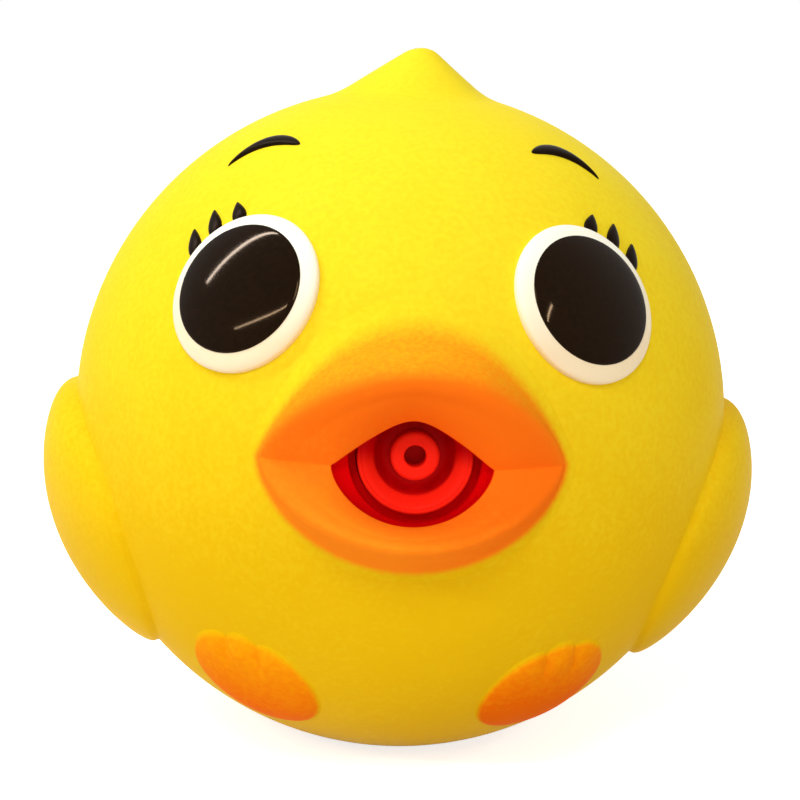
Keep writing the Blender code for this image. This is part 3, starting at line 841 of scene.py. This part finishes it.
def make_foot(side, material):
    """A flat oval foot whose upper end is parted into toes by narrow grooves."""

    def lobes(beside):
        """About nought at a toe's flank, more over its middle and less in the grooves between."""
        if abs(beside) > TOE_PITCH:
            return 1 - TOE_MEAN
        return abs(math.cos(math.pi * beside / TOE_PITCH)) ** TOE_GROOVE_POWER - TOE_MEAN

    def near_toes(beside):
        return smooth_step(TOE_PITCH * 2, TOE_PITCH * 1.2, abs(beside))

    def toes_at(angle):
        beside = abs(math.sin(angle)) * FOOT_WIDTH / 2
        return 1 + TOE_SCALLOP * near_toes(beside) * lobes(beside) * (math.cos(angle) > 0)

    def height(share, along, beside, spot):
        base = domed(share, FOOT_RISE, FOOT_SECTION, FOOT_EDGE)
        forward = smooth_step(FOOT_LENGTH * TOE_START, FOOT_LENGTH * TOE_FULL, along)
        toes = forward * near_toes(beside) * lobes(beside)
        return base + TOE_RISE * toes * section_height(share, 1.0)

    def paint(share):
        return smooth_step(*FOOT_PAINT_EDGE, share)

    return wrapped_form(
        f"{side_name(side)}_foot",
        material,
        mirrored(side, direction(FOOT_AZIMUTH, FOOT_ELEVATION)),
        (FOOT_LENGTH * FOOT_SPREAD, FOOT_WIDTH * FOOT_SPREAD),
        height,
        FOOT_FACETS,
        turn=side_turn(side, FOOT_TURN),
        outline_at=toes_at,
        paint_at=paint,
    )


def make_wing(side, material):
    """A leaf-shaped wing that lies against the side and thins towards its lower front end."""

    def height(share, along, beside, spot):
        thinned = 1 - WING_THINNING * smooth_step(0, -WING_LENGTH / 2, along)
        return domed(share, WING_RISE * thinned, WING_SECTION, WING_EDGE)

    return wrapped_form(
        f"{side_name(side)}_wing",
        material,
        mirrored(side, direction(WING_AZIMUTH, WING_ELEVATION)),
        (WING_LENGTH * WING_SPREAD, WING_WIDTH * WING_SPREAD),
        height,
        WING_FACETS,
        turn=side_turn(side, WING_TURN),
        point=WING_POINT,
    )


# Materials


class Nodes:
    """Short ways to add and join nodes in one tree."""

    def __init__(self, tree):
        self.tree = tree

    def add(self, kind, **settings):
        node = self.tree.nodes.new(kind)
        for name, value in settings.items():
            setattr(node, name, value)
        return node

    def join(self, out_socket, in_socket):
        self.tree.links.new(out_socket, in_socket)

    def feed(self, value, socket):
        if isinstance(value, bpy.types.NodeSocket):
            self.join(value, socket)
        else:
            socket.default_value = value

    def math(self, operation, *values, clamp=False):
        node = self.add("ShaderNodeMath", operation=operation, use_clamp=clamp)
        for value, socket in zip(values, node.inputs):
            self.feed(value, socket)
        return node.outputs[0]

    def blend(self, share, first, second):
        node = self.add("ShaderNodeMix", data_type="RGBA")
        self.feed(share, node.inputs[0])
        self.feed(first, node.inputs[6])
        self.feed(second, node.inputs[7])
        return node.outputs[2]

    def noise(self, place, scale, detail):
        node = self.add("ShaderNodeTexNoise")
        self.join(place, node.inputs["Vector"])
        node.inputs["Scale"].default_value = scale
        node.inputs["Detail"].default_value = detail
        return node.outputs["Fac"]

    def weighted(self, first, second):
        """Six tenths of one value and four of another."""
        return self.math("ADD", self.math("MULTIPLY", first, 0.6), self.math("MULTIPLY", second, 0.4))

    def seen(self):
        """1 where the camera or a reflection sees a surface, and 0 for the light that it gives."""
        path = self.add("ShaderNodeLightPath").outputs
        reflected = self.math("MAXIMUM", path["Is Glossy Ray"], path["Is Transmission Ray"])
        return self.math("MAXIMUM", path["Is Camera Ray"], reflected)

    def spread(self, value, low, high, to_low=0.0, to_high=1.0):
        node = self.add("ShaderNodeMapRange")
        self.feed(value, node.inputs["Value"])
        limits = (("From Min", low), ("From Max", high), ("To Min", to_low), ("To Max", to_high))
        for name, limit in limits:
            node.inputs[name].default_value = limit
        return node.outputs["Result"]


def make_skin_group():
    """Moulded vinyl, from Object coordinates: orange-peel grain, a faint mottle, uneven gloss."""
    group = bpy.data.node_groups.new("vinyl_skin", "ShaderNodeTree")
    for name in ("Mottle", "Height", "Gloss"):
        group.interface.new_socket(name, in_out="OUTPUT", socket_type="NodeSocketFloat")
    nodes = Nodes(group)
    place = nodes.add("ShaderNodeTexCoord").outputs["Object"]
    grain = nodes.noise(place, GRAIN_SCALE, detail=3)
    peel = nodes.noise(place, PEEL_SCALE, detail=2)
    broad = nodes.noise(place, MOTTLE_SCALE, detail=4)
    speck = nodes.spread(nodes.noise(place, SPECK_SCALE, detail=1), *NOISE_RANGE)
    out = nodes.add("NodeGroupOutput")
    nodes.join(nodes.weighted(broad, speck), out.inputs["Mottle"])
    nodes.join(nodes.weighted(peel, grain), out.inputs["Height"])
    nodes.join(nodes.spread(broad, *NOISE_RANGE, *GLOSS_RANGE), out.inputs["Gloss"])
    return group


def new_material(name):
    material = bpy.data.materials.new(name)
    material.use_nodes = True
    tree = material.node_tree
    nodes = Nodes(tree)
    shader = tree.nodes["Principled BSDF"]
    return material, nodes, shader


def add_skin(nodes, shader, skin_group, roughness, bump):
    """Place the vinyl skin group and wire its grain and gloss into a shader. Gives its mottle."""
    skin = nodes.add("ShaderNodeGroup", node_tree=skin_group)
    relief = nodes.add("ShaderNodeBump")
    relief.inputs["Strength"].default_value = bump
    relief.inputs["Distance"].default_value = BUMP_DISTANCE
    nodes.join(skin.outputs["Height"], relief.inputs["Height"])
    nodes.join(relief.outputs["Normal"], shader.inputs["Normal"])
    nodes.join(
        nodes.math("MULTIPLY", skin.outputs["Gloss"], roughness), shader.inputs["Roughness"]
    )
    return skin.outputs["Mottle"]


def axis_share(nodes, axis, start, end, to_start=0.0, to_end=1.0):
    """How far a place is along an axis from start to end."""
    place = nodes.add("ShaderNodeTexCoord").outputs["Object"]
    split = nodes.add("ShaderNodeSeparateXYZ")
    nodes.join(place, split.inputs[0])
    return nodes.spread(split.outputs[axis], start, end, to_start, to_end)


def vinyl_colour(nodes, mottle):
    """Lemon above, golden below as painted shade, with the mottle moving it a little to either side.
    """
    shift = nodes.spread(mottle, *NOISE_RANGE, -VINYL_MOTTLE, VINYL_MOTTLE)
    shifted = nodes.math("ADD", axis_share(nodes, "Z", *VINYL_SHADE_HEIGHTS), shift, clamp=True)
    return nodes.blend(shifted, YELLOW, SHADE_GOLD)


def set_sheen(shader, specular, tint):
    shader.inputs["Specular IOR Level"].default_value = specular
    shader.inputs["Specular Tint"].default_value = tint


def make_vinyl(skin_group):
    material, nodes, shader = new_material("yellow_vinyl")
    mottle = add_skin(nodes, shader, skin_group, VINYL_ROUGHNESS, VINYL_BUMP)
    nodes.join(vinyl_colour(nodes, mottle), shader.inputs["Base Color"])
    set_sheen(shader, VINYL_SPECULAR, WARM_SHEEN)
    return material


def make_sprayed_vinyl(name, paints, heights, side_shade, skin_group):
    """Vinyl under airbrushed paint, whose edge breaks into a fine mist.

    paints are the colours at the first and second heights, graded as painted shade. side_shade moves
    the +X side towards the second paint, also painted shade, or towards the first if less than
    nought.
    """
    material, nodes, shader = new_material(name)
    mottle = add_skin(nodes, shader, skin_group, VINYL_ROUGHNESS, SPRAY_BUMP)
    place = nodes.add("ShaderNodeTexCoord").outputs["Object"]
    orange = nodes.add("ShaderNodeAttribute", attribute_name="orange").outputs["Fac"]
    red = nodes.add("ShaderNodeAttribute", attribute_name="red").outputs["Fac"]
    mist = nodes.noise(place, MIST_SCALE, detail=2)
    mist = nodes.spread(mist, *NOISE_RANGE, -SPRAY_MIST, SPRAY_MIST)
    edge = nodes.math("MULTIPLY", orange, nodes.math("SUBTRACT", 1.0, orange))
    share = nodes.math("ADD", orange, nodes.math("MULTIPLY", mist, edge), clamp=True)
    shift = nodes.spread(mottle, *NOISE_RANGE, -SPRAY_MOTTLE, SPRAY_MOTTLE)
    # Painted shade: the paint grades with height and with the +X side
    side = axis_share(nodes, "X", *SIDE_SHADE_PLACES, 0, side_shade)
    shift = nodes.math("ADD", shift, side)
    low = nodes.math("ADD", axis_share(nodes, "Z", *heights), shift, clamp=True)
    colour = nodes.blend(share, vinyl_colour(nodes, mottle), nodes.blend(low, *paints))
    colour = nodes.blend(nodes.spread(red, 0.1, 0.9), colour, MOUTH_RED)
    # Painted shade: red past 1 turns the mouth's red deeper
    colour = nodes.blend(nodes.spread(red, 1, 2), colour, SHADE_RED)
    nodes.join(colour, shader.inputs["Base Color"])
    set_sheen(shader, SPRAY_SPECULAR, WARM_SHEEN)
    return material


def make_painted(name, colours, skin_group, roughness, bump, specular, sheen, heights=None):
    """One even paint between two colours, by its mottle or, if given, by two heights as painted
    shade.
    """
    material, nodes, shader = new_material(name)
    mottle = add_skin(nodes, shader, skin_group, roughness, bump)
    share = axis_share(nodes, "Z", *heights) if heights else nodes.spread(mottle, 0.35, 0.65)
    nodes.join(nodes.blend(share, *colours), shader.inputs["Base Color"])
    set_sheen(shader, specular, sheen)
    return material


def make_nozzle_plastic(skin_group):
    """Red plastic with painted shade: deeper red in the hollows and bore, deeper still under the lip.
    """
    material, nodes, shader = new_material("red_plastic")
    add_skin(nodes, shader, skin_group, roughness=0.36, bump=0.04)
    painted_shade = nodes.add("ShaderNodeAttribute", attribute_name="painted_shade").outputs["Fac"]
    colour = nodes.blend(nodes.spread(painted_shade, 0, 1), NOZZLE_RED, GROOVE_SHADE_RED)
    colour = nodes.blend(nodes.spread(painted_shade, 1, 2), colour, SHADE_RED)
    nodes.join(colour, shader.inputs["Base Color"])
    set_sheen(shader, 0.1, RED_SHEEN)
    return material


def make_floor_material():
    """Pale floor and backdrop that the camera sees as white, with the object's shadow on it."""
    material, nodes, shader = new_material("pale_floor")
    shader.inputs["Base Color"].default_value = FLOOR_GREY
    shader.inputs["Roughness"].default_value = 0.9
    glow = nodes.add("ShaderNodeEmission")
    glow.inputs["Color"].default_value = WHITE
    nodes.join(nodes.math("MULTIPLY", nodes.seen(), FLOOR_GLOW), glow.inputs["Strength"])
    both = nodes.add("ShaderNodeAddShader")
    nodes.join(shader.outputs[0], both.inputs[0])
    nodes.join(glow.outputs[0], both.inputs[1])
    output = next(node for node in material.node_tree.nodes if node.type == "OUTPUT_MATERIAL")
    nodes.join(both.outputs[0], output.inputs["Surface"])
    return material


# Stage: the room's light is warm, as bounced from pale wood, and the key comes from the front and
# above. A ceiling lamp is (across, forward) from the duck's middle and (width, depth) in size.

ROOM_LIGHT = (1.0, 0.88, 0.74, 1)
ROOM_LEVEL = 0.46
KEY_PLACE = (-0.108, -0.77, 0.778)
KEY_SIZE = (0.25, 0.25)
KEY_POWER = 2.85
KEY_COLOUR = (0.97, 1.0, 0.9)
FILL_PLACE = (0, -1.1, 0)
FILL_SIZE = (0.5, 0.5)
FILL_POWER = 1.1
CEILING_HEIGHT = 0.6
CEILING_LAMP_WIDTH = 0.023
CEILING_LAMP_POWER_PER_AREA = 250
CEILING_LAMP_COLOUR = (0.95, 1.0, 1.05)
CEILING_LAMPS = {
    "rear_ceiling_lamp": ((-0.62, 0.01), (0.76, CEILING_LAMP_WIDTH)),
    "front_ceiling_lamp": ((-0.85, -0.705), (0.89, CEILING_LAMP_WIDTH)),
    "side_ceiling_lamp": ((0.546, -0.681), (CEILING_LAMP_WIDTH, 0.36)),
}
FLOOR_GREY = srgb(226, 226, 224)
FLOOR_HALF_WIDTH = 3
FLOOR_GLOW = 0.75

FOCAL_LENGTH = 80.3
CAMERA_DISTANCE = 252 * MM
CAMERA_ELEVATION = math.radians(12)
CAMERA_YAW = math.radians(2.2)
CAMERA_ROLL = math.radians(2.2)
CAMERA_SHIFT = 16.8 / 800


def make_camera():
    toward = Vector(
        (
            -math.sin(CAMERA_YAW) * math.cos(CAMERA_ELEVATION),
            -math.cos(CAMERA_YAW) * math.cos(CAMERA_ELEVATION),
            math.sin(CAMERA_ELEVATION),
        )
    )
    camera = bpy.data.objects.new("camera", bpy.data.cameras.new("camera"))
    bpy.context.scene.collection.objects.link(camera)
    camera.data.sensor_width = 36
    camera.data.lens = FOCAL_LENGTH
    camera.data.shift_y = CAMERA_SHIFT
    camera.data.clip_start = 0.01
    turn = toward.to_track_quat("Z", "Y").to_matrix().to_4x4()
    place = Matrix.Translation(MIDDLE + toward * CAMERA_DISTANCE)
    camera.matrix_world = place @ turn @ Matrix.Rotation(CAMERA_ROLL, 4, "Z")
    bpy.context.scene.camera = camera


def add_area(name, place, size, power, colour, facing_down=False):
    """An area lamp of (width, height) at an offset from the duck's middle and turned towards it."""
    lamp = bpy.data.objects.new(name, bpy.data.lights.new(name, "AREA"))
    lamp.data.shape = "RECTANGLE"
    lamp.data.size, lamp.data.size_y = size
    lamp.data.energy = power
    lamp.data.color = colour
    lamp.location = MIDDLE + Vector(place)
    if not facing_down:
        lamp.rotation_euler = Vector(place).to_track_quat("Z", "Y").to_euler()
    bpy.context.scene.collection.objects.link(lamp)


def add_ceiling_lamps():
    """Narrow lamps on the ceiling, whose streaks show in the glossy pupils."""
    for name, (place, size) in CEILING_LAMPS.items():
        power = CEILING_LAMP_POWER_PER_AREA * size[0] * size[1]
        above = (*place, CEILING_HEIGHT)
        add_area(name, above, size, power, CEILING_LAMP_COLOUR, facing_down=True)


def make_stage():
    floor_shape = bmesh.new()
    bmesh.ops.create_grid(floor_shape, x_segments=1, y_segments=1, size=FLOOR_HALF_WIDTH)
    mesh = bpy.data.meshes.new("floor")
    floor_shape.to_mesh(mesh)
    floor_shape.free()
    mesh.materials.append(make_floor_material())
    floor = bpy.data.objects.new("floor", mesh)
    bpy.context.scene.collection.objects.link(floor)

    world = bpy.data.worlds.new("studio")
    bpy.context.scene.world = world
    world.use_nodes = True
    nodes = Nodes(world.node_tree)
    background = world.node_tree.nodes["Background"]
    seen = nodes.seen()
    nodes.join(nodes.blend(seen, ROOM_LIGHT, WHITE), background.inputs["Color"])
    nodes.join(nodes.spread(seen, 0, 1, ROOM_LEVEL, 1.0), background.inputs["Strength"])

    add_area("key", KEY_PLACE, KEY_SIZE, KEY_POWER, KEY_COLOUR)
    add_area("fill", FILL_PLACE, FILL_SIZE, FILL_POWER, KEY_COLOUR)
    add_ceiling_lamps()
    bpy.context.scene.view_settings.view_transform = "Standard"


def main():
    skin_group = make_skin_group()
    # Painted shade: the vinyl turns golden lower down
    vinyl = make_vinyl(skin_group)
    # Painted shade: the bill's orange is deeper higher up and towards +X
    bill_spray_and_shade = make_sprayed_vinyl(
        "bill_spray_and_shade", (SHADED_BILL_ORANGE, ORANGE), BILL_SHADE_HEIGHTS, BILL_SIDE_SHADE, skin_group
    )
    # Painted light and shade: lighter toes, deeper heels and a deeper +X side
    foot_spray_and_shade = make_sprayed_vinyl(
        "foot_spray_and_shade", (LIT_FOOT_ORANGE, SHADED_FOOT_ORANGE), FOOT_SHADE_HEIGHTS, FOOT_SIDE_SHADE, skin_group
    )
    # Painted shade: the eye whites turn cream lower down
    white = make_painted(
        "eye_white_paint_and_shade",
        (EYE_WHITE, EYE_SHADE_CREAM),
        skin_group,
        roughness=0.38,
        bump=0.06,
        specular=0.2,
        sheen=WHITE,
        heights=EYE_SHADE_HEIGHTS,
    )
    gloss = make_painted(
        "glossy_black_paint",
        (BLACK, DEEP_BLACK),
        skin_group,
        roughness=0.07,
        bump=0.02,
        specular=0.11,
        sheen=PUPIL_SHEEN,
    )
    paint_black = make_painted(
        "black_paint",
        (BLACK, DEEP_BLACK),
        skin_group,
        roughness=0.3,
        bump=0.05,
        specular=0.06,
        sheen=PUPIL_SHEEN,
    )
    # Red plastic with painted shade in its hollows and under the lip
    red = make_nozzle_plastic(skin_group)

    shell = make_shell(vinyl)
    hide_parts("body")
    nozzle = make_nozzle(red)
    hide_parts("mouth_nozzle")
    body_pieces = [shell, make_bill(bill_spray_and_shade)]
    for side in (-1, 1):
        body_pieces.append(make_wing(side, vinyl))
        body_pieces.append(make_foot(side, foot_spray_and_shade))
        body_pieces += make_eye(side, white, gloss, paint_black)
        body_pieces.append(make_brow(side, paint_black))
    for piece in body_pieces:
        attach(piece, "root")
    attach(nozzle, "root")

    make_stage()
    make_camera()


main()
